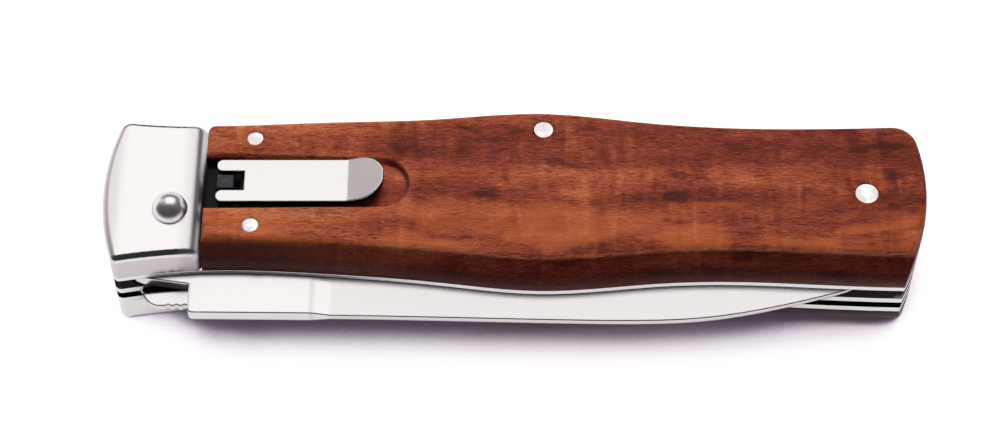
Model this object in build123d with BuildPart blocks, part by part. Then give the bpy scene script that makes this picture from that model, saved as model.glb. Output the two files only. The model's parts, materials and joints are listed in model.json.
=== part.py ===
from build123d import *

import os
from math import cos, radians, sin

# Folding lever-lock knife, closed and lying on its side with the lever up.
#
# Millimetres.  +X runs from the bolsters to the butt, +Y from the open edge of
# the handle to its back, +Z up through the thickness.  The origin is at the
# middle of the bottom of the bounding box.

os.makedirs("parts", exist_ok=True)

# ---------------------------------------------------------------- driving sizes
HALF_LENGTH = 65.25
SIDE_THICK = 5.4
REAR_LINER_THICK = 1.2
SAW_GAP = 1.5
MIDDLE_LINER_THICK = 1.2
BLADE_GAP = 2.3
FRONT_LINER_THICK = 1.0
SIDE_PLAY = 0.1

PIVOT = (-54.4, -1.1)
JOINT_X = -49.3
PIVOT_R = 2.0
PIVOT_HEAD_R = 2.8
PIVOT_HEAD_RISE = 2.4
PIN_FIT = 0.01
RUN_FIT = 0.05

SCALE_PINS = ((-41.6, 12.3), (-41.6, -4.2))
SCALE_PIN_R = 1.25
MIDDLE_PIN = (4.6, 14.0)
MIDDLE_PIN_R = 1.5
BUTT_PIN = (55.6, 1.7)
BUTT_PIN_R = 1.8
PIN_RISE = 0.15
SPRING_RIVET = (11.0, 8.15)
SPRING_RIVET_R = 1.0

CHAMFER_WIDTH = 3.3
CHAMFER_DEPTH = 2.85
CHAMFER_BELLY_ROUND = 3.2
EDGE_ROUND = 1.0
BOLSTER_ROUND = 1.1
SHOULDER_ROUND = 2.4
BACK_CORNER_R = 2.0
BUTT_BACK_CORNER_R = 4.0
OPEN_CORNER_R = 1.0
SCALE_CORNER_R = 1.2

TANG_R = 10.3
TANG_CLEARANCE = 0.3
STEP_X = -51.4
STEP_ROOT_Y = -11.0
NOTCH_FRONT = (-60.0, -9.74)
SPINE_Y = -16.4
EDGE_Y = 0.0
PLUNGE_START = -32.0
PLUNGE_END = -29.0
SPINE_GROUND = 1.05
EDGE_GROUND = 0.16
TIP = (58.0, -10.1)

SAW_SPINE_Y = -12.95
SAW_TEETH_Y = -3.0
SAW_TIP_X = 38.0
TOOTH_PITCH = 3.0
TOOTH_HEIGHT = 1.6
JIMP_X = -54.9
JIMP_PITCH = 1.3
JIMP_R = 0.42

LEVER_Y = 4.0
LEVER_LEFT = -47.3
LEVER_BEND = -27.1
LEVER_BEND_R = 3.0
LEVER_BEND_ANGLE = 17.0
LEVER_TAIL = 5.7
LEVER_WIDTH = 7.9
LEVER_THICK = 1.0
LEVER_LIFT = 0.25
LEVER_NOTCH = (-42.9, 3.6)
RECESS_DEPTH = 0.9
POCKET_DEPTH = 3.0
POCKET_RIGHT = -43.6
HINGE_X = -45.9
CROSS_PIN_R = 0.45
HEAD_SIZE = 2.7
PLUNGER_R = 1.0
SPRING_BORE_R = 1.7
STOP_PIN_R = 1.1

# --------------------------------------------------------------- levels along Z
Z_SAW_GAP = SIDE_THICK + REAR_LINER_THICK
Z_MIDDLE = Z_SAW_GAP + SAW_GAP
Z_BLADE_GAP = Z_MIDDLE + MIDDLE_LINER_THICK
Z_FRONT_LINER = Z_BLADE_GAP + BLADE_GAP
Z_FRONT_SIDE = Z_FRONT_LINER + FRONT_LINER_THICK
Z_TOP = Z_FRONT_SIDE + SIDE_THICK
Z_RECESS = Z_TOP - RECESS_DEPTH
Z_LEVER = Z_RECESS + LEVER_LIFT
Z_HINGE = Z_LEVER - 0.5
Z_POCKET = Z_TOP - POCKET_DEPTH
Z_HEAD = Z_POCKET + 0.9
BLADE_THICK = BLADE_GAP - 2 * SIDE_PLAY
BLADE_MIDDLE = Z_BLADE_GAP + BLADE_GAP / 2
SAW_THICK = SAW_GAP - 2 * SIDE_PLAY
MID_PLANE = Plane.XY.offset(Z_TOP / 2)
PLUNGER = (HINGE_X, LEVER_Y)
STOP_PIN = (-38.0, EDGE_Y + STOP_PIN_R + 0.08)


def about_pivot(radius, angle):
    """Point at a radius and an angle in degrees round the pivot axis."""
    return (PIVOT[0] + radius * cos(radians(angle)), PIVOT[1] + radius * sin(radians(angle)))


def finish_piece(piece, name):
    """Label a finished piece and write it to its own file."""
    piece.part.label = name
    export_step(piece.part, f"parts/{name}.step")


# ------------------------------------------------- outline of the handle in plan
FRONT_BACK = (-62.95, 15.95)
FRONT_OPEN = (-63.0, -10.8)
BUTT_BACK = (63.6, 15.0)
BUTT_OPEN = (61.1, -12.45)

with BuildSketch() as handle:
    with BuildLine():
        Spline(
            FRONT_BACK, (-49.3, 15.2), (-30, 15.9), (-13, 16.5), (4.5, 17.6),
            (20, 15.95), (31.4, 14.95), (44, 14.6), BUTT_BACK,
        )
        ThreePointArc(BUTT_BACK, (HALF_LENGTH, 3.0), BUTT_OPEN)
        Spline(
            BUTT_OPEN, (48.3, -11.95), (35.5, -11.4), (22.6, -11.7), (4, -13.05),
            (-12.7, -11.4), (-29.2, -9.95), (-49.3, -9.3), FRONT_OPEN,
        )
        ThreePointArc(FRONT_OPEN, (-HALF_LENGTH, 0.5), FRONT_BACK)
    make_face()
    for corner, corner_r in (
        (FRONT_BACK, BACK_CORNER_R), (BUTT_BACK, BUTT_BACK_CORNER_R), (FRONT_OPEN, OPEN_CORNER_R)
    ):
        fillet(handle.vertices().sort_by_distance(corner)[0], radius=corner_r)

# ------------------------------------------------------------------------ liners
with BuildPart() as front_liner:
    with BuildSketch(Plane.XY.offset(Z_FRONT_LINER)):
        add(handle.sketch)
        with Locations(PIVOT):
            Circle(PIVOT_R + PIN_FIT, mode=Mode.SUBTRACT)
        with Locations(*SCALE_PINS):
            Circle(SCALE_PIN_R + PIN_FIT, mode=Mode.SUBTRACT)
        with Locations(MIDDLE_PIN):
            Circle(MIDDLE_PIN_R + PIN_FIT, mode=Mode.SUBTRACT)
        with Locations(BUTT_PIN):
            Circle(BUTT_PIN_R + PIN_FIT, mode=Mode.SUBTRACT)
        with Locations(SPRING_RIVET):
            Circle(SPRING_RIVET_R + PIN_FIT, mode=Mode.SUBTRACT)
        with Locations(STOP_PIN):
            Circle(STOP_PIN_R + PIN_FIT, mode=Mode.SUBTRACT)
        with Locations(PLUNGER):
            Circle(PLUNGER_R + RUN_FIT, mode=Mode.SUBTRACT)
    extrude(amount=FRONT_LINER_THICK)
finish_piece(front_liner, "front_liner")

with BuildPart() as middle_liner:
    with BuildSketch(Plane.XY.offset(Z_MIDDLE)):
        add(handle.sketch)
        with Locations(PIVOT):
            Circle(PIVOT_R + PIN_FIT, mode=Mode.SUBTRACT)
        with Locations(MIDDLE_PIN):
            Circle(MIDDLE_PIN_R + PIN_FIT, mode=Mode.SUBTRACT)
        with Locations(BUTT_PIN):
            Circle(BUTT_PIN_R + PIN_FIT, mode=Mode.SUBTRACT)
        with Locations(SPRING_RIVET):
            Circle(SPRING_RIVET_R + PIN_FIT, mode=Mode.SUBTRACT)
        with Locations(STOP_PIN):
            Circle(STOP_PIN_R + PIN_FIT, mode=Mode.SUBTRACT)
    extrude(amount=MIDDLE_LINER_THICK)
finish_piece(middle_liner, "middle_liner")

with BuildPart() as rear_liner:
    with BuildSketch(Plane.XY.offset(SIDE_THICK)):
        add(handle.sketch)
        with Locations(PIVOT):
            Circle(PIVOT_R + PIN_FIT, mode=Mode.SUBTRACT)
        with Locations(*SCALE_PINS):
            Circle(SCALE_PIN_R + PIN_FIT, mode=Mode.SUBTRACT)
        with Locations(MIDDLE_PIN):
            Circle(MIDDLE_PIN_R + PIN_FIT, mode=Mode.SUBTRACT)
        with Locations(BUTT_PIN):
            Circle(BUTT_PIN_R + PIN_FIT, mode=Mode.SUBTRACT)
    extrude(amount=REAR_LINER_THICK)
finish_piece(rear_liner, "rear_liner")

# ---------------------------------------------------------------------- bolsters
with BuildPart() as bolster_blank:
    with BuildSketch(Plane.XY.offset(Z_FRONT_SIDE)):
        add(handle.sketch)
        with Locations((JOINT_X, 0)):
            Rectangle(200, 60, align=(Align.MIN, Align.CENTER), mode=Mode.SUBTRACT)
    extrude(amount=SIDE_THICK)
    top_rim = bolster_blank.edges().group_by(Axis.Z)[-1]
    shoulder = top_rim.sort_by(Axis.X)[-1]
    fillet(shoulder, radius=SHOULDER_ROUND)
    outer_rim = bolster_blank.faces().sort_by(Axis.Z)[-1].edges()
    fillet(outer_rim.sort_by(Axis.X)[:-1], radius=BOLSTER_ROUND)

with BuildPart() as front_bolster:
    add(bolster_blank.part)
    with Locations((*PIVOT, Z_FRONT_SIDE)):
        Cylinder(
            PIVOT_R + PIN_FIT, SIDE_THICK,
            align=(Align.CENTER, Align.CENTER, Align.MIN), mode=Mode.SUBTRACT,
        )
finish_piece(front_bolster, "front_bolster")

with BuildPart() as rear_bolster:
    add(mirror(front_bolster.part, about=MID_PLANE))
finish_piece(rear_bolster, "rear_bolster")

# ---------------------------------------------------------------- handle scales
with BuildPart() as scale_blank:
    with BuildSketch(Plane.XY.offset(Z_FRONT_SIDE)):
        add(handle.sketch)
        with Locations((JOINT_X, 0)):
            Rectangle(200, 60, align=(Align.MAX, Align.CENTER), mode=Mode.SUBTRACT)
    extrude(amount=SIDE_THICK)
    joint_corners = scale_blank.edges().filter_by(Axis.Z).group_by(Axis.X)[0]
    fillet(joint_corners.sort_by(Axis.Y)[-1], radius=SCALE_CORNER_R)
    open_edge = scale_blank.edges().group_by(Axis.Z)[-1].sort_by(Axis.Y)[0]
    chamfer(open_edge, length=CHAMFER_DEPTH, length2=CHAMFER_WIDTH)
    # the chamfer runs into the side through a broad round belly
    long_edges = scale_blank.edges().filter_by(lambda edge: edge.length > HALF_LENGTH)
    belly = long_edges.sort_by(lambda edge: abs(edge.center().Z - Z_TOP + CHAMFER_DEPTH))[0]
    fillet(belly, radius=CHAMFER_BELLY_ROUND)
    fillet(scale_blank.faces().sort_by(Axis.Z)[-1].edges(), radius=EDGE_ROUND)
    with BuildSketch(Plane.XY.offset(Z_FRONT_SIDE)):
        with Locations(MIDDLE_PIN):
            Circle(MIDDLE_PIN_R + PIN_FIT)
        with Locations(BUTT_PIN):
            Circle(BUTT_PIN_R + PIN_FIT)
        with Locations(*SCALE_PINS):
            Circle(SCALE_PIN_R + PIN_FIT)
    extrude(amount=SIDE_THICK, mode=Mode.SUBTRACT)

with BuildPart() as front_scale:
    add(scale_blank.part)
    # shallow dished recess under the lever, open at the bolster end
    with BuildSketch(Plane.XY.offset(Z_TOP)):
        with BuildLine():
            Line((-52, -1.15), (-20.5, -0.9))
            ThreePointArc((-20.5, -0.9), (-16.6, 3.6), (-20.5, 8.4))
            Polyline((-20.5, 8.4), (-49.3, 9.65), (-52, 9.65), (-52, -1.15))
        make_face()
    extrude(amount=-RECESS_DEPTH, taper=40, mode=Mode.SUBTRACT)
    # deep pocket for the hinge end of the lever
    with BuildSketch(Plane.XY.offset(Z_TOP)):
        with Locations((POCKET_RIGHT, LEVER_Y + 0.1)):
            Rectangle(12, 9.4, align=(Align.MAX, Align.CENTER))
    extrude(amount=-POCKET_DEPTH, mode=Mode.SUBTRACT)
    with BuildSketch(Plane.XY.offset(Z_FRONT_SIDE)):
        with Locations(PLUNGER):
            Circle(SPRING_BORE_R)
    extrude(amount=SIDE_THICK, mode=Mode.SUBTRACT)
finish_piece(front_scale, "front_scale")

with BuildPart() as rear_scale:
    add(mirror(scale_blank.part, about=MID_PLANE))
finish_piece(rear_scale, "rear_scale")

# -------------------------------------------------------------------- main blade
TANG_EDGE = about_pivot(TANG_R, 6.14)
RICASSO_SPINE = (PLUNGE_START, SPINE_Y - 0.05)
STEP_CORNER = (STEP_X, SPINE_Y + 0.15)
GROUND_SPINE = (PLUNGE_END, SPINE_Y - 0.15)
GROUND_EDGE = (PLUNGE_END, EDGE_Y)
HALF_SPINE = SPINE_GROUND / 2
HALF_EDGE = EDGE_GROUND / 2

with BuildPart() as main_blade:
    # round tang and square ricasso, full thickness, with the stop step in its spine
    with BuildSketch(Plane.XY.offset(Z_BLADE_GAP + SIDE_PLAY)) as ricasso:
        with BuildLine():
            ThreePointArc(NOTCH_FRONT, about_pivot(TANG_R, 130), TANG_EDGE)
            Polyline(
                TANG_EDGE, (PLUNGE_START, EDGE_Y), RICASSO_SPINE, STEP_CORNER,
                (STEP_X, STEP_ROOT_Y), NOTCH_FRONT,
            )
        make_face()
        fillet(ricasso.vertices().sort_by_distance(STEP_CORNER)[0], radius=0.8)
    extrude(amount=BLADE_THICK)
    # ramp from the ricasso down to the ground section
    with BuildSketch(Plane.YZ.offset(PLUNGE_START)):
        with Locations((EDGE_Y, BLADE_MIDDLE)):
            Rectangle(-RICASSO_SPINE[1], BLADE_THICK, align=(Align.MAX, Align.CENTER))
    with BuildSketch(Plane.YZ.offset(PLUNGE_END)):
        with BuildLine():
            Polyline(
                (GROUND_SPINE[1], BLADE_MIDDLE - HALF_SPINE),
                (EDGE_Y, BLADE_MIDDLE - HALF_EDGE),
                (EDGE_Y, BLADE_MIDDLE + HALF_EDGE),
                (GROUND_SPINE[1], BLADE_MIDDLE + HALF_SPINE),
                close=True,
            )
        make_face()
    loft(ruled=True)
    # clip point blade, then its two ground faces
    with BuildSketch(Plane.XY.offset(BLADE_MIDDLE - HALF_SPINE)):
        with BuildLine():
            Spline(
                GROUND_SPINE, (-10, -16.95), (8, -17.4), (20, -17.5), (29, -17.05),
                (38.4, -15.5), (46.5, -13.5), (53.7, -11.4), TIP,
            )
            Spline(TIP, (50, -4.6), (38, -0.9), (22, 0.15), tangents=((-0.7, 1), (-1, 0.02)))
            Polyline((22, 0.15), GROUND_EDGE, GROUND_SPINE)
        make_face()
    extrude(amount=SPINE_GROUND)
    with BuildSketch(Plane.YZ.offset(PLUNGE_END)):
        for side in (-1, 1):
            with BuildLine():
                Polyline(
                    (GROUND_SPINE[1], BLADE_MIDDLE + side * HALF_SPINE),
                    (EDGE_Y, BLADE_MIDDLE + side * HALF_EDGE),
                    (EDGE_Y + 2, BLADE_MIDDLE + side * HALF_EDGE),
                    (EDGE_Y + 2, BLADE_MIDDLE + side * BLADE_THICK),
                    (GROUND_SPINE[1], BLADE_MIDDLE + side * BLADE_THICK),
                    close=True,
                )
            make_face()
    extrude(amount=2 * HALF_LENGTH, mode=Mode.SUBTRACT)
    # pivot hole and the two half-round lock notches in the rim of the tang
    with BuildSketch(Plane.XY.offset(Z_BLADE_GAP)):
        with Locations(PIVOT):
            Circle(PIVOT_R + RUN_FIT)
        with Locations(PLUNGER, (2 * PIVOT[0] - PLUNGER[0], 2 * PIVOT[1] - PLUNGER[1])):
            Circle(PLUNGER_R + 0.15)
    extrude(amount=BLADE_GAP, mode=Mode.SUBTRACT)
finish_piece(main_blade, "main_blade")

# --------------------------------------------------------------------- saw blade
SAW_FRONT = about_pivot(TANG_R, -117)
SAW_EDGE = about_pivot(TANG_R, 5)
TOOTH_START = -34.0
TOOTH_COUNT = 22

with BuildPart() as saw_blade:
    with BuildSketch(Plane.XY.offset(Z_SAW_GAP + SIDE_PLAY)) as saw_outline:
        with BuildLine():
            ThreePointArc(SAW_FRONT, about_pivot(TANG_R, 130), SAW_EDGE)
            Line(SAW_EDGE, (TOOTH_START, SAW_TEETH_Y))
            for tooth in range(TOOTH_COUNT):
                left = TOOTH_START + tooth * TOOTH_PITCH
                Line((left, SAW_TEETH_Y), (left + 0.3 * TOOTH_PITCH, SAW_TEETH_Y - TOOTH_HEIGHT))
                Line(
                    (left + 0.3 * TOOTH_PITCH, SAW_TEETH_Y - TOOTH_HEIGHT),
                    (left + TOOTH_PITCH, SAW_TEETH_Y),
                )
            Polyline(
                (TOOTH_START + TOOTH_COUNT * TOOTH_PITCH, SAW_TEETH_Y),
                (SAW_TIP_X, -8.0), (SAW_TIP_X, -10.6), (30, -12.1), (-20, SAW_SPINE_Y),
                (-56.7, SAW_SPINE_Y),
            )
            ThreePointArc((-56.7, SAW_SPINE_Y), (-58.3, -12.0), SAW_FRONT)
        make_face()
        with Locations(PIVOT):
            Circle(PIVOT_R + RUN_FIT, mode=Mode.SUBTRACT)
        # thumb grooves in the corner of the tang
        with Locations(*[(JIMP_X + n * JIMP_PITCH, SAW_SPINE_Y - 0.18) for n in range(4)]):
            Circle(JIMP_R, mode=Mode.SUBTRACT)
    extrude(amount=SAW_THICK)
finish_piece(saw_blade, "saw_blade")

# ------------------------------------------------------- spacer and flat springs
SPACER_NOSE_X = -57.3
NOSE_R = TANG_R + TANG_CLEARANCE
NOSE_START = (SPACER_NOSE_X, PIVOT[1] + (NOSE_R**2 - (SPACER_NOSE_X - PIVOT[0]) ** 2) ** 0.5)

with BuildPart() as back_spacer:
    with BuildSketch(Plane.XY.offset(Z_BLADE_GAP)):
        add(handle.sketch)
        with BuildLine():
            Polyline((-80, -30), (-80, 30), (SPACER_NOSE_X, 30), NOSE_START)
            ThreePointArc(NOSE_START, about_pivot(NOSE_R, 85), about_pivot(NOSE_R, 62))
            Polyline(
                about_pivot(NOSE_R, 62), about_pivot(13.2, 62), (-36, 10.6), (44, 9.6),
                (50, 7.5), (51, -2.5), (70, -4.5), (70, -30), (-80, -30),
            )
        make_face(mode=Mode.SUBTRACT)
        with Locations(MIDDLE_PIN):
            Circle(MIDDLE_PIN_R + PIN_FIT, mode=Mode.SUBTRACT)
        with Locations(BUTT_PIN):
            Circle(BUTT_PIN_R + PIN_FIT, mode=Mode.SUBTRACT)
    extrude(amount=BLADE_GAP)
finish_piece(back_spacer, "back_spacer")

with BuildPart() as kick_spring:
    with BuildSketch(Plane.XY.offset(Z_BLADE_GAP + SIDE_PLAY)):
        with BuildLine():
            Spline(about_pivot(11.3, 50), (-30, 6.5), (-10, 6.8), (6, 7.9))
        trace(line_width=1.1)
        with Locations(SPRING_RIVET):
            Rectangle(12, 2.7)
            Circle(SPRING_RIVET_R + PIN_FIT, mode=Mode.SUBTRACT)
    extrude(amount=BLADE_THICK)
finish_piece(kick_spring, "kick_spring")

with BuildPart() as saw_spring:
    with BuildSketch(Plane.XY.offset(Z_SAW_GAP)):
        add(handle.sketch)
        with BuildLine():
            Polyline((-80, -30), (-80, 30), (-48.9, 30), (-48.9, 8.8), about_pivot(NOSE_R, 52))
            ThreePointArc(about_pivot(NOSE_R, 52), about_pivot(NOSE_R, 42), about_pivot(NOSE_R, 32))
            Polyline(
                about_pivot(NOSE_R, 32), (-43, 4.9), (-38, 8.8), (44, 8.8), (50, 7.5),
                (51, -2.5), (70, -4.5), (70, -30), (-80, -30),
            )
        make_face(mode=Mode.SUBTRACT)
        with Locations(MIDDLE_PIN):
            Circle(MIDDLE_PIN_R + PIN_FIT, mode=Mode.SUBTRACT)
        with Locations(BUTT_PIN):
            Circle(BUTT_PIN_R + PIN_FIT, mode=Mode.SUBTRACT)
    extrude(amount=SAW_GAP)
finish_piece(saw_spring, "saw_spring")

# --------------------------------------------------------------- pins and rivets
def ball_radius(cap_r, rise):
    """Radius of the ball whose cap has this radius and height."""
    return (cap_r**2 + rise**2) / (2 * rise)


with BuildPart() as pivot_pin:
    # domed head on the front bolster, then the plain shank
    head_ball_r = ball_radius(PIVOT_HEAD_R, PIVOT_HEAD_RISE)
    with Locations((*PIVOT, Z_TOP + PIVOT_HEAD_RISE - head_ball_r)):
        Sphere(head_ball_r)
    split(bisect_by=Plane.XY.offset(Z_TOP), keep=Keep.TOP)
    with BuildSketch():
        with Locations(PIVOT):
            Circle(PIVOT_R)
    extrude(amount=Z_TOP)
finish_piece(pivot_pin, "pivot_pin")

for name, place, pin_r in (
    ("middle_pin", MIDDLE_PIN, MIDDLE_PIN_R),
    ("butt_pin", BUTT_PIN, BUTT_PIN_R),
):
    with BuildPart() as long_pin:
        # shallow domed end, then the plain shank
        pin_ball_r = ball_radius(pin_r, PIN_RISE)
        with Locations((*place, Z_TOP + PIN_RISE - pin_ball_r)):
            Sphere(pin_ball_r)
        split(bisect_by=Plane.XY.offset(Z_TOP), keep=Keep.TOP)
        with BuildSketch():
            with Locations(place):
                Circle(pin_r)
        extrude(amount=Z_TOP)
    finish_piece(long_pin, name)

with BuildPart() as front_scale_pins:
    pin_ball_r = ball_radius(SCALE_PIN_R, PIN_RISE)
    with Locations(*[(*place, Z_TOP + PIN_RISE - pin_ball_r) for place in SCALE_PINS]):
        Sphere(pin_ball_r)
    split(bisect_by=Plane.XY.offset(Z_TOP), keep=Keep.TOP)
    with BuildSketch(Plane.XY.offset(Z_FRONT_LINER)):
        with Locations(*SCALE_PINS):
            Circle(SCALE_PIN_R)
    extrude(amount=FRONT_LINER_THICK + SIDE_THICK)
finish_piece(front_scale_pins, "front_scale_pins")

with BuildPart() as rear_scale_pins:
    with BuildSketch():
        with Locations(*SCALE_PINS):
            Circle(SCALE_PIN_R)
    extrude(amount=Z_SAW_GAP)
finish_piece(rear_scale_pins, "rear_scale_pins")

with BuildPart() as spring_rivet:
    with BuildSketch(Plane.XY.offset(Z_MIDDLE)):
        with Locations(SPRING_RIVET):
            Circle(SPRING_RIVET_R)
    extrude(amount=Z_FRONT_SIDE - Z_MIDDLE)
finish_piece(spring_rivet, "spring_rivet")

with BuildPart() as blade_stop_pin:
    with BuildSketch(Plane.XY.offset(Z_MIDDLE)):
        with Locations(STOP_PIN):
            Circle(STOP_PIN_R)
    extrude(amount=Z_FRONT_SIDE - Z_MIDDLE)
finish_piece(blade_stop_pin, "blade_stop_pin")

# ---------------------------------------------------------------- lever and lock
TAIL_ANGLE = radians(LEVER_BEND_ANGLE)
LEVER_RIGHT = LEVER_BEND + LEVER_BEND_R * sin(TAIL_ANGLE) + LEVER_TAIL * cos(TAIL_ANGLE)
Z_LEVER_MIDDLE = Z_LEVER + LEVER_THICK / 2
LUG_SIZE = 2.2
END_R = LEVER_WIDTH / 2
ARM_R = 0.9
NOTCH_X, NOTCH_WIDTH = LEVER_NOTCH

with BuildPart() as lock_lever:
    # strip with its free end bent up at a slant
    with BuildSketch(Plane.XZ.offset(-LEVER_Y - END_R)):
        with BuildLine():
            Line((LEVER_LEFT, Z_LEVER_MIDDLE), (LEVER_BEND, Z_LEVER_MIDDLE))
            bend = CenterArc(
                (LEVER_BEND, Z_LEVER_MIDDLE + LEVER_BEND_R), LEVER_BEND_R, -90, LEVER_BEND_ANGLE
            )
            Line(bend @ 1, bend @ 1 + LEVER_TAIL * (bend % 1))
        trace(line_width=LEVER_THICK)
    extrude(amount=LEVER_WIDTH)
    # rounded free end and forked hinge end
    with BuildSketch(Plane.XY.offset(Z_LEVER)) as lever_plan:
        with Locations((LEVER_LEFT, LEVER_Y)):
            Rectangle(
                LEVER_RIGHT - END_R - LEVER_LEFT, LEVER_WIDTH, align=(Align.MIN, Align.CENTER)
            )
        with Locations((LEVER_RIGHT - END_R, LEVER_Y)):
            Circle(END_R)
        with Locations((LEVER_LEFT - 1, LEVER_Y)):
            Rectangle(
                NOTCH_X - LEVER_LEFT + 1, NOTCH_WIDTH,
                align=(Align.MIN, Align.CENTER), mode=Mode.SUBTRACT,
            )
        fillet(lever_plan.vertices().group_by(Axis.X)[0], radius=ARM_R)
    extrude(amount=4 * LEVER_THICK, mode=Mode.INTERSECT)
    # a lug under each arm carries the cross pin
    with BuildSketch(Plane.XZ.offset(-LEVER_Y - END_R)):
        with Locations((HINGE_X, Z_LEVER + 0.1)):
            Rectangle(LUG_SIZE, LUG_SIZE / 2 + 0.1, align=(Align.CENTER, Align.MAX))
        with Locations((HINGE_X, Z_HINGE)):
            Circle(LUG_SIZE / 2)
    extrude(amount=LEVER_WIDTH)
    with BuildSketch(Plane.XY.offset(Z_POCKET)):
        with Locations((HINGE_X, LEVER_Y)):
            Rectangle(2 * LUG_SIZE, NOTCH_WIDTH)
    extrude(amount=POCKET_DEPTH + LEVER_THICK, mode=Mode.SUBTRACT)
    with BuildSketch(Plane.XZ.offset(-LEVER_Y)):
        with Locations((HINGE_X, Z_HINGE)):
            Circle(CROSS_PIN_R + RUN_FIT)
    extrude(amount=LEVER_WIDTH, both=True, mode=Mode.SUBTRACT)
finish_piece(lock_lever, "lock_lever")

with BuildPart() as lock_plunger:
    with BuildSketch(Plane.XY.offset(Z_HEAD)):
        with Locations(PLUNGER):
            RectangleRounded(HEAD_SIZE, HEAD_SIZE, 0.3)
    extrude(amount=Z_TOP + 0.1 - Z_HEAD)
    fillet(lock_plunger.edges().group_by(Axis.Z)[-1], radius=0.25)
    with BuildSketch(Plane.XY.offset(Z_FRONT_LINER)):
        with Locations(PLUNGER):
            Circle(PLUNGER_R)
    extrude(amount=Z_HEAD - Z_FRONT_LINER)
    with BuildSketch(Plane.XZ.offset(-LEVER_Y)):
        with Locations((HINGE_X, Z_HINGE)):
            Circle(CROSS_PIN_R + PIN_FIT)
    extrude(amount=LEVER_WIDTH, both=True, mode=Mode.SUBTRACT)
finish_piece(lock_plunger, "lock_plunger")

with BuildPart() as lever_cross_pin:
    with BuildSketch(Plane.XZ.offset(-LEVER_Y)):
        with Locations((HINGE_X, Z_HINGE)):
            Circle(CROSS_PIN_R)
    extrude(amount=END_R - 0.2, both=True)
finish_piece(lever_cross_pin, "lever_cross_pin")

# coil that draws the plunger down into the tang
COIL_R = 1.4
WIRE_R = 0.17
COIL_BOTTOM = Z_FRONT_SIDE + WIRE_R + 0.02
COIL_TOP = Z_HEAD - WIRE_R - 0.02
COIL_TURNS = 5

with BuildPart() as plunger_spring:
    with BuildLine() as coil_path:
        Helix(
            pitch=(COIL_TOP - COIL_BOTTOM) / COIL_TURNS, height=COIL_TOP - COIL_BOTTOM,
            radius=COIL_R, center=(*PLUNGER, COIL_BOTTOM),
        )
    with BuildSketch(coil_path.line ^ 0):
        Circle(WIRE_R)
    sweep(is_frenet=True)
finish_piece(plunger_spring, "plunger_spring")
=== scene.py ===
import json
from math import cos, pi, radians, sin

import bpy
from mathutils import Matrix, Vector


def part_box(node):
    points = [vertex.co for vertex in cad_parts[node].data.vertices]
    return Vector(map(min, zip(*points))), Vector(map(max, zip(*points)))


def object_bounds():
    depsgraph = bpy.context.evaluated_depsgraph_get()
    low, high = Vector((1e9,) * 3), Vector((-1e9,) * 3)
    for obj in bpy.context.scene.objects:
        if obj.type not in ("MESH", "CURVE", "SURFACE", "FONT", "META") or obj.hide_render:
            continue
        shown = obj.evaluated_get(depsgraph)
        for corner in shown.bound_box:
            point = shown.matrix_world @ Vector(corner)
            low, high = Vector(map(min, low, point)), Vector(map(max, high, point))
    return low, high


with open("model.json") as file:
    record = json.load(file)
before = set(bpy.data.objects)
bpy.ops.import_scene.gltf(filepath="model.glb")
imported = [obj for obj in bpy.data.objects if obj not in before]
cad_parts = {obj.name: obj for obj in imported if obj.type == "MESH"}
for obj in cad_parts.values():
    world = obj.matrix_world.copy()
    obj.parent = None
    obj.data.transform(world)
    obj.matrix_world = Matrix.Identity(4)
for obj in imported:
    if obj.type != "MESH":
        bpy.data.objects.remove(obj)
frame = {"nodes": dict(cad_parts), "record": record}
cad_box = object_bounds()

NODES = frame["nodes"]
LOW, HIGH = cad_box
MM = 0.001


# ------------------------------------------------------------- material building
class Value:
    """An output socket of a material's node; arithmetic on it adds Math nodes."""

    def __init__(self, finish, socket):
        self.finish = finish
        self.socket = socket

    def maths(self, operation, first, second=0.0):
        return self.finish.node(
            "ShaderNodeMath", {"operation": operation}, {0: first, 1: second}
        )

    def __add__(self, other):
        return self.maths("ADD", self, other)

    def __radd__(self, other):
        return self.maths("ADD", other, self)

    def __sub__(self, other):
        return self.maths("SUBTRACT", self, other)

    def __rsub__(self, other):
        return self.maths("SUBTRACT", other, self)

    def __mul__(self, other):
        return self.maths("MULTIPLY", self, other)

    def __rmul__(self, other):
        return self.maths("MULTIPLY", other, self)

    def __abs__(self):
        return self.maths("ABSOLUTE", self)


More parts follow.
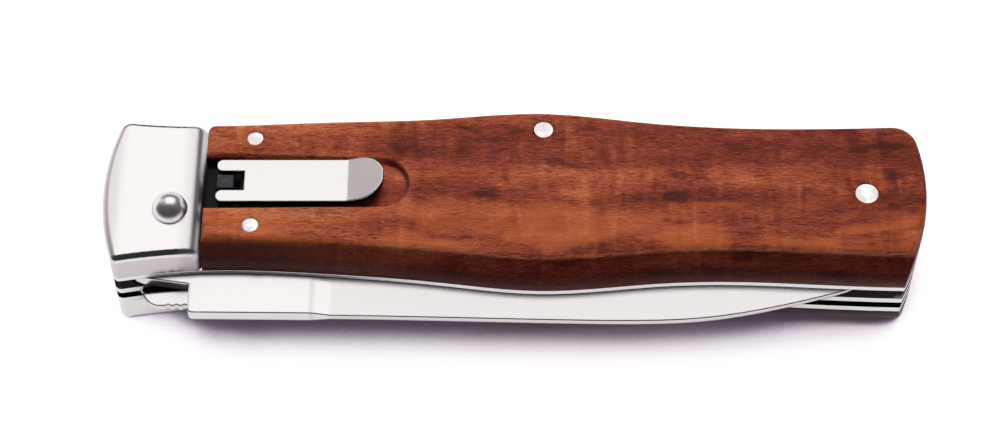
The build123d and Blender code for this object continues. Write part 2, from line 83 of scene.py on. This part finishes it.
class Finish:
    """A procedural material made node by node, in the object's own coordinates."""

    def __init__(self, name):
        self.material = bpy.data.materials.new(name)
        self.material.use_nodes = True
        self.tree = self.material.node_tree
        self.tree.nodes.clear()
        self.place = self.node("ShaderNodeTexCoord", output="Object")

    def node(self, kind, settings=None, sockets=None, output=0):
        """Adds one node: its settings first, then the values or links of its sockets."""
        made = self.tree.nodes.new(kind)
        for name, setting in (settings or {}).items():
            if name == "stops":
                self.set_stops(made.color_ramp, setting)
            else:
                setattr(made, name, setting)
        for name, value in (sockets or {}).items():
            if isinstance(value, Value):
                self.tree.links.new(value.socket, made.inputs[name])
            else:
                made.inputs[name].default_value = value
        return Value(self, made.outputs[output]) if len(made.outputs) else None

    @staticmethod
    def set_stops(ramp, stops):
        while len(ramp.elements) < len(stops):
            ramp.elements.new(1.0)
        for element, (position, colour) in zip(ramp.elements, stops):
            element.position = position
            element.color = (*colour, 1.0)

    def scaled(self, per_mm, shift=(0.0, 0.0, 0.0)):
        """The position, stretched so that one unit is 1 / per_mm millimetres on each axis."""
        return self.node(
            "ShaderNodeMapping",
            {"vector_type": "POINT"},
            {"Vector": self.place, "Scale": tuple(s / MM for s in per_mm), "Location": shift},
        )

    def noise(self, per_mm, detail=2.0, roughness=0.5, distortion=0.0, shift=(0.0, 0.0, 0.0)):
        return self.node(
            "ShaderNodeTexNoise",
            None,
            {
                "Vector": self.scaled(per_mm, shift),
                "Scale": 1.0,
                "Detail": detail,
                "Roughness": roughness,
                "Distortion": distortion,
            },
        )

    def between(self, value, low, high):
        """0 at low, 1 at high, with a smooth step between them."""
        return self.node(
            "ShaderNodeMapRange",
            {"interpolation_type": "SMOOTHSTEP"},
            {"Value": value, "From Min": low, "From Max": high},
        )

    def axis(self, name):
        """One coordinate of the position, in metres."""
        return self.node(
            "ShaderNodeSeparateXYZ", None, {"Vector": self.place}, output="XYZ".index(name)
        )

    def ramp(self, value, *stops):
        return self.node("ShaderNodeValToRGB", {"stops": stops}, {"Fac": value})

    def mix(self, factor, first, second, blend="MIX"):
        """Blends two colours, each a Value or three numbers."""
        first, second = (c if isinstance(c, Value) else (*c, 1.0) for c in (first, second))
        return self.node(
            "ShaderNodeMix",
            {"data_type": "RGBA", "blend_type": blend},
            {0: factor, 6: first, 7: second},
            output=2,
        )

    def openness(self, reach, samples):
        """1 where nothing stands within reach of the surface, less in a gap."""
        return self.node(
            "ShaderNodeAmbientOcclusion", {"samples": samples}, {"Distance": reach}, output=1
        )

    def crevice(self, reach, open_at, shut_at):
        """1 deep in a gap or against a wall, 0 where the surface is open."""
        return self.between(self.openness(reach, samples=8), open_at, shut_at)

    def bump(self, height, strength, distance, edge=None):
        """Relief from a height; edge is the radius that sharp corners look stoned to."""
        sockets = {"Height": height, "Strength": strength, "Distance": distance}
        if edge:
            sockets["Normal"] = self.node("ShaderNodeBevel", {"samples": 8}, {"Radius": edge})
        return self.node("ShaderNodeBump", None, sockets)

    def surface(self, **sockets):
        """The closing shader. Socket names are written with underscores for blanks."""
        shader = self.node(
            "ShaderNodeBsdfPrincipled",
            None,
            {name.replace("_", " "): value for name, value in sockets.items()},
        )
        self.node("ShaderNodeOutputMaterial", None, {"Surface": shader})
        return self.material


# --------------------------------------------------------------------- finishes
LEVER_LOW, LEVER_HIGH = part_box("lock_lever")
BOLSTER_LOW, BOLSTER_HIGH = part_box("front_bolster")
FRONT_LINER_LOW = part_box("front_liner")[0]
HANDLE_TOP = BOLSTER_HIGH.z
HALF_THICKNESS = 0.5 * HANDLE_TOP
# along the main blade: the end of the flat ricasso and the start of the full grind
RICASSO_END = -32.0 * MM
GRIND_START = -29.0 * MM
BRIGHT_STEEL = (0.635, 0.610, 0.610)
# near-black painted shade for steel deep in the gaps between the plates
GAP_SHADE_COLOUR = (0.010, 0.008, 0.011)


def figured_hardwood():
    """Oiled reddish hardwood: dash-like fibres along the handle, ripple figure across it."""
    wood = Finish("figured_hardwood")
    along = wood.axis("X")
    across = wood.axis("Y")
    bands = wood.noise((0.012, 0.26, 0.26), detail=2.0, roughness=0.5, distortion=0.4)
    patches = wood.noise((0.055, 0.17, 0.17), detail=2.0, distortion=0.7, shift=(3.0, 1.4, 0.0))
    ripple = wood.noise((0.42, 0.070, 0.070), detail=2.0, roughness=0.5, distortion=0.9)
    blocks = wood.noise((0.16, 0.25, 0.25), detail=1.0, shift=(7.0, 2.0, 5.0))
    fibres = wood.noise((0.70, 5.6, 5.6), detail=5.0, roughness=0.72, distortion=0.3)
    flecks = wood.noise((2.8, 8.5, 8.5), detail=3.0, roughness=0.75, shift=(2.0, 8.0, 1.0))
    dashes = wood.noise(
        (0.60, 5.2, 5.2), detail=3.0, roughness=0.6, distortion=0.2, shift=(9.0, 4.0, 2.0)
    )
    stains = wood.noise((0.10, 0.24, 0.24), detail=3.0, roughness=0.6, shift=(4.0, 6.0, 2.0))
    pores = wood.between(dashes, 0.43, 0.33)
    pale_dashes = wood.between(dashes, 0.57, 0.68)
    glow = (
        wood.between(patches, 0.44, 0.60)
        * wood.between(across, 3.0 * MM, -3.0 * MM)
        * wood.between(across, -10.0 * MM, -8.0 * MM)
    )
    figure = wood.between(blocks, 0.35, 0.65) * (ripple - 0.5)
    pale_front = wood.between(along, -14.0 * MM, -34.0 * MM)
    dull_butt = wood.between(along, 30.0 * MM, 50.0 * MM) * wood.between(across, 0.0, 9.0 * MM)
    tone = (
        0.485
        + 0.55 * (bands - 0.5)
        + 0.50 * (patches - 0.5)
        + 0.62 * figure
        + 1.00 * (fibres - 0.5)
        + 0.70 * (flecks - 0.5)
        + 0.12 * pale_dashes
        - 0.26 * pores
        - 0.20 * wood.between(stains, 0.55, 0.70)
        + 0.20 * pale_front
        - 0.12 * dull_butt
    )
    colour = wood.ramp(
        tone,
        (0.16, (0.095, 0.0115, 0.0062)),
        (0.36, (0.228, 0.0315, 0.0138)),
        (0.52, (0.395, 0.0720, 0.0280)),
        (0.66, (0.565, 0.1300, 0.0480)),
        (0.88, (0.830, 0.2800, 0.1150)),
    )
    colour = wood.mix(0.50 * glow, colour, (0.640, 0.1500, 0.0360))
    return wood, colour, fibres, pores


def oiled_scale_wood_painted_shade():
    """The hardwood, with painted shade on its sides, black painted shade in the lever's pocket and
    a painted highlight on the chamfer's upper corner.
    """
    wood, colour, fibres, pores = figured_hardwood()
    along = wood.axis("X")
    across = wood.axis("Y")
    height = wood.axis("Z")
    from_middle = abs(height - HALF_THICKNESS)
    # painted shade: the sides below the top's rounding, darker and tinted violet
    sides = wood.between(
        from_middle, HALF_THICKNESS - 0.30 * MM, HALF_THICKNESS - 1.20 * MM
    )
    # painted shade on the open side, darker toward the bolster
    hinge_end_shade = (
        sides
        * wood.between(along, -8.0 * MM, -44.0 * MM)
        * wood.between(across, -4.0 * MM, -7.0 * MM)
    )
    # painted shade on the rear scale's open side, nearest the table
    rear_edge_shade = (
        sides
        * wood.between(height, 6.0 * MM, 5.0 * MM)
        * wood.between(across, -7.0 * MM, -9.0 * MM)
    )
    # a painted reddish highlight along the upper corner of the chamfer
    crease_highlight = (
        wood.between(from_middle, HALF_THICKNESS - 0.01 * MM, HALF_THICKNESS - 0.09 * MM)
        * wood.between(from_middle, HALF_THICKNESS - 0.46 * MM, HALF_THICKNESS - 0.24 * MM)
        * wood.between(across, -4.0 * MM, -5.5 * MM)
        * wood.between(along, -36.0 * MM, -22.0 * MM)
        * wood.between(fibres, 0.30, 0.62)
    )
    # painted shade in the lever's recess: black in the pocket for its fork, painted shadow on the
    # floor below the lever and on the curved far step
    within_recess = wood.between(
        across, LEVER_LOW.y - 1.4 * MM, LEVER_LOW.y - 0.7 * MM
    ) * wood.between(across, LEVER_HIGH.y + 1.9 * MM, LEVER_HIGH.y + 1.4 * MM)
    pocket_shade = (
        within_recess
        * wood.between(along, LEVER_LOW.x + 4.9 * MM, LEVER_LOW.x + 4.3 * MM)
        * wood.between(height, HANDLE_TOP - 0.55 * MM, HANDLE_TOP - 0.95 * MM)
    )
    under_lever_shadow = (
        within_recess
        * wood.between(along, LEVER_HIGH.x - 1.0 * MM, LEVER_HIGH.x - 8.0 * MM)
        * wood.between(height, HANDLE_TOP - 0.35 * MM, HANDLE_TOP - 0.85 * MM)
    )
    recess_end_shadow = (
        within_recess
        * wood.between(height, HANDLE_TOP - 0.03 * MM, HANDLE_TOP - 0.22 * MM)
        * wood.between(height, HANDLE_TOP - 0.89 * MM, HANDLE_TOP - 0.72 * MM)
        * wood.between(along, LEVER_HIGH.x - 1.5 * MM, LEVER_HIGH.x + 1.5 * MM)
        * wood.between(across, -1.0 * MM, 3.0 * MM)
    )
    colour = wood.mix(0.85 * sides, colour, (0.80, 0.58, 0.80), "MULTIPLY")
    colour = wood.mix(0.66 * hinge_end_shade, colour, (0.050, 0.018, 0.030))
    colour = wood.mix(0.66 * rear_edge_shade, colour, (0.060, 0.042, 0.055))
    colour = wood.mix(0.34 * crease_highlight, colour, (0.84, 0.34, 0.22))
    colour = wood.mix(0.72 * under_lever_shadow, colour, (0.020, 0.008, 0.006))
    colour = wood.mix(0.75 * recess_end_shadow, colour, (0.030, 0.009, 0.008))
    colour = wood.mix(pocket_shade, colour, (0.004, 0.003, 0.004))
    return wood.surface(
        Base_Color=colour,
        Roughness=0.36 + 0.22 * fibres,
        Specular_IOR_Level=0.16,
        Normal=wood.bump(fibres - 0.8 * pores, 0.22, 0.06 * MM, 0.8 * MM),
    )


def polished_steel():
    """Bolster steel: mirror polish on the flats, softer on the rounds; painted violet shade on the
    side walls.
    """
    steel = Finish("polished_steel")
    wipes = steel.noise((3.0, 0.25, 0.25), detail=4.0, roughness=0.6, distortion=0.4)
    cloud = steel.noise((0.10, 0.10, 0.10), detail=2.0)
    along = steel.axis("X")
    height = steel.axis("Z")
    joint_round = steel.between(along, BOLSTER_HIGH.x - 4.6 * MM, BOLSTER_HIGH.x - 1.6 * MM)
    nose_round = steel.between(along, BOLSTER_LOW.x + 4.2 * MM, BOLSTER_LOW.x + 1.6 * MM)
    # painted shade: the front bolster's side walls below its top rounding, darker and tinted
    # violet
    front_sides_shade = steel.between(
        height, HANDLE_TOP - 0.9 * MM, HANDLE_TOP - 1.3 * MM
    ) * steel.between(height, BOLSTER_LOW.z - 0.4 * MM, BOLSTER_LOW.z)
    colour = steel.mix(cloud, BRIGHT_STEEL, (0.665, 0.640, 0.640))
    return steel.surface(
        Base_Color=steel.mix(front_sides_shade, colour, (0.80, 0.745, 0.79), "MULTIPLY"),
        Metallic=1.0,
        Roughness=0.10 + 0.07 * wipes + 0.05 * cloud + 0.20 * (joint_round + nose_round),
        Normal=steel.bump(wipes, 0.06, 0.02 * MM),
    )


def satin_blade_steel():
    """Blade steel: polished ricasso, then the ground faces with their fine lines across."""
    steel = Finish("satin_blade_steel")
    grind = steel.noise((9.0, 0.35, 0.6), detail=3.0, roughness=0.6)
    cloud = steel.noise((0.05, 0.10, 0.10), detail=2.0)
    along = steel.axis("X")
    flat = steel.mix(cloud, BRIGHT_STEEL, (0.655, 0.630, 0.630))
    ground = steel.mix(cloud, (0.560, 0.530, 0.535), (0.610, 0.580, 0.580))
    on_grind = steel.between(along, GRIND_START - 0.3 * MM, GRIND_START + 0.3 * MM)
    # a painted shade line across the blade where the ricasso ends
    ricasso_shade_line = steel.between(
        along, RICASSO_END - 0.6 * MM, RICASSO_END - 0.1 * MM
    ) * steel.between(along, RICASSO_END + 0.8 * MM, RICASSO_END)
    colour = steel.mix(on_grind, flat, ground)
    colour = steel.mix(0.30 * ricasso_shade_line, colour, (0.34, 0.32, 0.33))
    # painted shade: the blade goes near black where a wall or a gap closes over it, a thin dark
    # line along the liner and the bolster
    return steel.surface(
        Base_Color=steel.mix(steel.crevice(1.6 * MM, 0.78, 0.55), colour, (0.012, 0.009, 0.012)),
        Metallic=1.0,
        Roughness=0.12 + 0.08 * grind + 0.04 * cloud,
        Normal=steel.bump(grind, 0.05, 0.02 * MM, 0.45 * MM),
    )


def liner_steel():
    """Sheet steel with lengthwise drawing lines on its edges and faces."""
    steel = Finish("liner_steel")
    lines = steel.noise((0.12, 6.0, 9.0), detail=3.0, roughness=0.6)
    below_front = steel.between(
        steel.axis("Z"), FRONT_LINER_LOW.z - 0.05 * MM, FRONT_LINER_LOW.z - 0.15 * MM
    )
    # painted shade: the liners below the front one go near black deep in the gaps
    gap_shade = steel.crevice(3.5 * MM, 0.96, 0.74) * below_front
    return steel.surface(
        Base_Color=steel.mix(
            gap_shade,
            steel.mix(lines, (0.60, 0.58, 0.59), (0.76, 0.74, 0.75)),
            GAP_SHADE_COLOUR,
        ),
        Metallic=1.0,
        Roughness=0.16 + 0.16 * lines,
        Normal=steel.bump(lines, 0.12, 0.03 * MM, 0.22 * MM),
    )


def spring_steel():
    """Tempered spring steel, plainer than the liners; its dark grey base is partly the steel's own
    grey and partly painted shade from inside the handle.
    """
    steel = Finish("spring_steel")
    lines = steel.noise((0.15, 5.0, 5.0), detail=3.0)
    # painted shade: near black deep in the gaps between the plates
    return steel.surface(
        Base_Color=steel.mix(
            steel.crevice(3.5 * MM, 0.96, 0.74),
            steel.mix(lines, (0.16, 0.155, 0.165), (0.26, 0.25, 0.26)),
            GAP_SHADE_COLOUR,
        ),
        Metallic=1.0,
        Roughness=0.34 + 0.16 * lines,
        Normal=steel.bump(lines, 0.12, 0.03 * MM),
    )


def brushed_lever_steel():
    """Lever strip: long brushed grain with faint bright and dull streaks."""
    steel = Finish("brushed_lever_steel")
    grain = steel.noise((0.16, 11.0, 2.0), detail=4.0, roughness=0.65)
    # painted shade: the lever goes near black along its edges, where the recess closes round it
    return steel.surface(
        Base_Color=steel.mix(
            steel.crevice(2.0 * MM, 0.82, 0.60),
            steel.mix(grain, (0.58, 0.560, 0.545), (0.67, 0.650, 0.635)),
            (0.012, 0.010, 0.012),
        ),
        Metallic=1.0,
        Roughness=0.13 + 0.10 * grain,
        Normal=steel.bump(grain, 0.08, 0.02 * MM, 0.25 * MM),
    )


def bright_pin_steel():
    """Pin heads, turned and polished in place."""
    steel = Finish("bright_pin_steel")
    turning = steel.noise((0.55, 0.55, 0.55), detail=3.0)
    return steel.surface(
        Base_Color=steel.mix(
            steel.between(turning, 0.40, 0.62), (0.56, 0.52, 0.53), (0.74, 0.71, 0.71)
        ),
        Metallic=1.0,
        Roughness=0.12 + 0.10 * turning,
        Normal=steel.bump(turning, 0.10, 0.03 * MM),
    )


def peened_rivet_steel():
    """Pivot head: peened, duller than the pins, a little brown from handling."""
    steel = Finish("peened_rivet_steel")
    dents = steel.noise((0.9, 0.9, 0.9), detail=3.0, roughness=0.6)
    # painted shade: near black round the foot of the dome, where the bolster closes in
    return steel.surface(
        Base_Color=steel.mix(
            steel.crevice(1.4 * MM, 0.80, 0.52),
            steel.mix(dents, (0.72, 0.68, 0.68), (0.92, 0.88, 0.88)),
            (0.030, 0.025, 0.026),
        ),
        Metallic=0.82,
        Roughness=0.24 + 0.12 * dents,
        Normal=steel.bump(dents, 0.16, 0.06 * MM),
    )


def blackened_steel():
    """Plunger steel: chemically blackened, worn a little grey."""
    steel = Finish("blackened_steel")
    wear = steel.noise((1.2, 1.2, 1.2), detail=4.0, roughness=0.7)
    return steel.surface(
        Base_Color=steel.mix(
            steel.between(wear, 0.45, 0.75), (0.040, 0.040, 0.050), (0.10, 0.10, 0.115)
        ),
        Metallic=0.8,
        Roughness=0.34 + 0.2 * wear,
        Normal=steel.bump(wear, 0.2, 0.04 * MM),
    )


# the finish of each material slot in the record
FINISH_OF_SLOT = {
    "scale_wood": oiled_scale_wood_painted_shade(),
    "bolster_steel": polished_steel(),
    "blade_steel": satin_blade_steel(),
    "liner_steel": liner_steel(),
    "spring_steel": spring_steel(),
    "lever_steel": brushed_lever_steel(),
    "pin_steel": bright_pin_steel(),
    "plunger_steel": blackened_steel(),
}


# a piece that has a finish of its own
FINISH_OF_PIECE = {"pivot_pin": peened_rivet_steel()}


def give_finish(piece, finish):
    piece.data.materials.clear()
    piece.data.materials.append(finish)


for subpart in frame["record"]["subparts"]:
    piece_name = subpart["node"]
    slot_finish = FINISH_OF_SLOT[subpart["material_slot"]]
    give_finish(NODES[piece_name], FINISH_OF_PIECE.get(piece_name, slot_finish))


# -------------------------------------------------------------- camera and light
CAMERA_ELEVATION = radians(57.0)
CAMERA_DISTANCE = 418.5 * MM
SENSOR_WIDTH = 36.0
FIELD_OF_VIEW = radians(21.8)
# the aim: a share of the knife's length, a step to its back edge, and half its thickness
AIM_ALONG = 0.48176
AIM_TO_BACK = 2.8 * MM
AIM_HEIGHT = 9.0 * MM
AIM = Vector(
    (
        LOW.x + AIM_ALONG * (HIGH.x - LOW.x),
        0.5 * (LOW.y + HIGH.y) + AIM_TO_BACK,
        AIM_HEIGHT,
    )
)


def add_camera():
    data = bpy.data.cameras.new("camera")
    data.sensor_width = SENSOR_WIDTH
    data.lens_unit = "FOV"
    data.angle = FIELD_OF_VIEW
    data.clip_start = 0.01
    camera = bpy.data.objects.new("camera", data)
    bpy.context.scene.collection.objects.link(camera)
    back = Vector((0.0, -cos(CAMERA_ELEVATION), sin(CAMERA_ELEVATION)))
    camera.location = AIM + CAMERA_DISTANCE * back
    camera.rotation_mode = "QUATERNION"
    camera.rotation_quaternion = (-back).to_track_quat("-Z", "Y")
    bpy.context.scene.camera = camera


def add_panel(name, place, size, radiance, colour, in_reflections=True):
    """A rectangular soft light turned to the middle of the table, sized in metres."""
    data = bpy.data.lights.new(name, "AREA")
    data.shape = "RECTANGLE"
    data.size, data.size_y = size
    data.energy = radiance * pi * size[0] * size[1]
    data.color = colour
    light = bpy.data.objects.new(name, data)
    bpy.context.scene.collection.objects.link(light)
    light.location = place
    light.rotation_mode = "QUATERNION"
    light.rotation_quaternion = (-Vector(place)).to_track_quat("-Z", "Y")
    light.visible_glossy = in_reflections
    light.visible_camera = False


def add_floor():
    """A white table top that glows where it is open to the room, with a painted shadow where the
    glow dims close to the knife.
    """
    bpy.ops.mesh.primitive_plane_add(size=4.0, location=(0.0, 0.0, LOW.z - 0.02 * MM))
    floor = bpy.context.object
    floor.name = "floor"
    paper = Finish("floor_paper")
    # painted shadow: the glow follows the floor's openness near the knife, and is lifted past the
    # bolster's end so the shadow fades there
    past_bolster = paper.between(paper.axis("X"), -48.0 * MM, -57.0 * MM)
    openness = paper.openness(13.0 * MM, samples=16) + 0.11 * past_bolster
    grain = paper.noise((0.5, 0.5, 0.5), detail=2.0)
    floor.data.materials.append(
        paper.surface(
            Base_Color=paper.mix(grain, (0.30, 0.295, 0.305), (0.32, 0.315, 0.325)),
            Roughness=0.9,
            Specular_IOR_Level=0.0,
            Emission_Color=paper.ramp(
                openness,
                (0.36, (0.05, 0.035, 0.055)),
                (0.415, (0.10, 0.070, 0.105)),
                (0.475, (0.70, 0.63, 0.71)),
                (0.56, (0.82, 0.77, 0.82)),
                (0.67, (1.00, 1.00, 1.00)),
            ),
            Emission_Strength=1.0,
        )
    )
    floor.visible_diffuse = False


def set_room():
    """A dim grey room behind the lights."""
    world = bpy.data.worlds.new("room")
    bpy.context.scene.world = world
    world.use_nodes = True
    background = world.node_tree.nodes["Background"]
    background.inputs["Color"].default_value = (0.95, 0.93, 1.0, 1.0)
    background.inputs["Strength"].default_value = 0.04


add_camera()
add_floor()
set_room()
add_panel("overhead_softbox", (0.0, 0.36, 0.58), (0.68, 0.60), 1.45, (1.0, 0.985, 0.98))
add_panel("left_panel", (-0.62, 0.45, 0.46), (0.42, 0.50), 0.74, (1.0, 0.93, 0.94))
add_panel("low_left_panel", (-0.80, 0.52, 0.12), (0.70, 0.24), 1.15, (1.0, 0.98, 0.98))
add_panel("low_right_panel", (0.80, 0.52, 0.12), (0.70, 0.24), 1.15, (1.0, 0.98, 0.98))
add_panel("back_fill", (0.0, 0.75, 1.10), (0.7, 0.5), 7.0, (1.0, 0.99, 0.99), in_reflections=False)

# left out of reflections, so that the steel beside them shines right up to the joint
NOT_MIRRORED = ("front_scale", "front_liner", "front_bolster", "main_blade")
for piece_name in NOT_MIRRORED:
    NODES[piece_name].visible_glossy = False
bpy.context.scene.view_settings.view_transform = "Standard"
